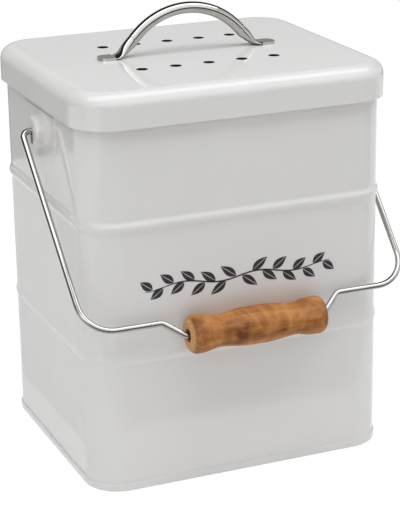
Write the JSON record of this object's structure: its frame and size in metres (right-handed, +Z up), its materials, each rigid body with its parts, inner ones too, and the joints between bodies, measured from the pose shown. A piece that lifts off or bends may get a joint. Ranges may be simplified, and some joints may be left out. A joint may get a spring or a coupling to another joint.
{
  "type": "compost caddy",
  "caption": "Rounded-box steel compost caddy with a vented lift-off lid, filter under it, arched lid handle and a wire bail with a turned wooden grip.",
  "frame": {"origin": "middle of the flat underside of the base pan", "axes": "+X to the right along the front, +Y to the back, +Z up; the front, where the grip rests, faces -Y"},
  "size_m": [0.2049, 0.1806, 0.2579],
  "materials": {
    "white_enamel": "glossy white powder coat on sheet steel",
    "polished_steel": "polished bright steel",
    "turned_wood": "turned, satin varnish",
    "plated_fasteners": "bright zinc plated",
    "grey_moulding": "light grey moulded plastic",
    "charcoal_pad": "charcoal-filled fibre pad"
  },
  "bodies": {
    "bin": {"bin_wall": "white_enamel", "base_pan": "white_enamel", "bail_ear_left": "white_enamel", "bail_ear_right": "white_enamel"},
    "lid": {"lid_shell": "white_enamel", "lid_handle": "polished_steel", "handle_stud_left": "plated_fasteners", "handle_stud_right": "plated_fasteners", "handle_washer_left": "plated_fasteners", "handle_washer_right": "plated_fasteners", "handle_nut_left": "plated_fasteners", "handle_nut_right": "plated_fasteners", "filter_frame": "grey_moulding"},
    "filter": {"charcoal_filter": "charcoal_pad", "filter_cover": "grey_moulding"},
    "bail": {"bail_wire": "polished_steel"},
    "grip": {"wood_grip": "turned_wood"}
  },
  "joints": [
    {"name": "lid_lift", "type": "slide", "parent": "bin", "child": "lid", "axis": [0, 0, 1], "range_m": [0, 0.15]},
    {"name": "filter_release", "type": "slide", "parent": "lid", "child": "filter", "axis": [0, 0, -1], "range_m": [0, 0.06]},
    {"name": "bail_swing", "type": "hinge", "parent": "bin", "child": "bail", "pos_m": [0, 0, 0.19304], "axis": [-1, 0, 0], "range_deg": [0, 277.36]},
    {"name": "grip_spin", "type": "hinge", "parent": "bail", "child": "grip", "pos_m": [0.0023, -0.0888, 0.09204], "axis": [1, 0, 0], "continuous": true}
  ]
}
